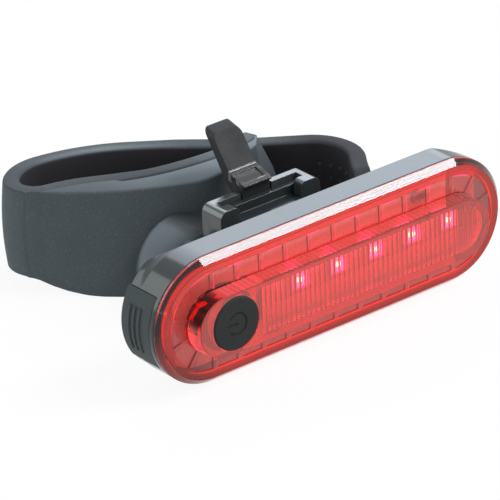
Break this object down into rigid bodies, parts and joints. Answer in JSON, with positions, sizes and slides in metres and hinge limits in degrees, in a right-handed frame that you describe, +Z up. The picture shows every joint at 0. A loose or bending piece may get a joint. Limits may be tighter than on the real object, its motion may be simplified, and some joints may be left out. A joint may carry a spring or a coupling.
{
  "type": "bike light",
  "caption": "Slim rear bike light with a clear-red lens, raised fluted window and round power button, on a slide-on bracket with latch and a looped rubber strap.",
  "frame": {"origin": "middle of the flat underside of the housing's side wall, on which light and strap stand", "axes": "+X along the light away from the power button, -Y the way the lens faces, +Z up"},
  "size_m": [0.0763, 0.063, 0.0291],
  "materials": {
    "housing_plastic": "smooth semi-gloss moulding",
    "lens_red": "clear polished with fluted inside",
    "seal_rubber": "soft matt",
    "button_rubber": "matt with a fine grain",
    "board_white": "white solder mask",
    "led_body": "moulded white with a clear dish",
    "small_steel": "plated",
    "black_plastic": "moulded",
    "battery_foil": "crimped foil pouch",
    "tape_white": "double-sided foam tape",
    "wire_red": "soft insulation",
    "wire_black": "soft insulation",
    "plug_rubber": "soft matt",
    "bracket_plastic": "tough moulding with polished patches",
    "strap_rubber": "matt with fine pale specks"
  },
  "bodies": {
    "mount": {"bracket": "bracket_plastic", "strap": "strap_rubber"},
    "light": {"housing": "housing_plastic", "lens": "lens_red", "lens_seal": "seal_rubber", "circuit_board": "board_white", "led_1": "led_body", "led_2": "led_body", "led_3": "led_body", "led_4": "led_body", "led_5": "led_body", "switch_body": "small_steel", "charge_controller": "black_plastic", "resistor_1": "black_plastic", "resistor_2": "black_plastic", "board_screw_1": "small_steel", "board_screw_2": "small_steel", "battery": "battery_foil", "battery_tape": "tape_white", "wire_positive": "wire_red", "wire_negative": "wire_black", "usb_shell": "small_steel", "usb_tongue": "black_plastic"},
    "latch": {"latch_lever": "bracket_plastic"},
    "button": {"power_button": "button_rubber"},
    "plunger": {"switch_plunger": "black_plastic"},
    "plug": {"usb_plug": "plug_rubber"}
  },
  "joints": [
    {"name": "light_slide", "type": "slide", "parent": "mount", "child": "light", "axis": [0, 0, 1], "range_m": [0, 0.01]},
    {"name": "latch_bend", "type": "hinge", "parent": "mount", "child": "latch", "pos_m": [0, 0.017, 0.0046], "axis": [-1, 0, 0], "range_deg": [0, 10]},
    {"name": "button_press", "type": "slide", "parent": "light", "child": "button", "axis": [0, 1, 0], "range_m": [0, 0.0005], "stiffness_N_per_m": 1500},
    {"name": "plunger_press", "type": "slide", "parent": "light", "child": "plunger", "axis": [0, 1, 0], "range_m": [0, 0.0005]},
    {"name": "plug_pull", "type": "slide", "parent": "light", "child": "plug", "axis": [-1, 0, 0], "range_m": [0, 0.005]}
  ],
  "couplings": [
    {"joint": "latch_bend", "follows": "light_slide", "rad_per_m": 17.1},
    {"joint": "plunger_press", "follows": "button_press", "ratio": 1}
  ]
}
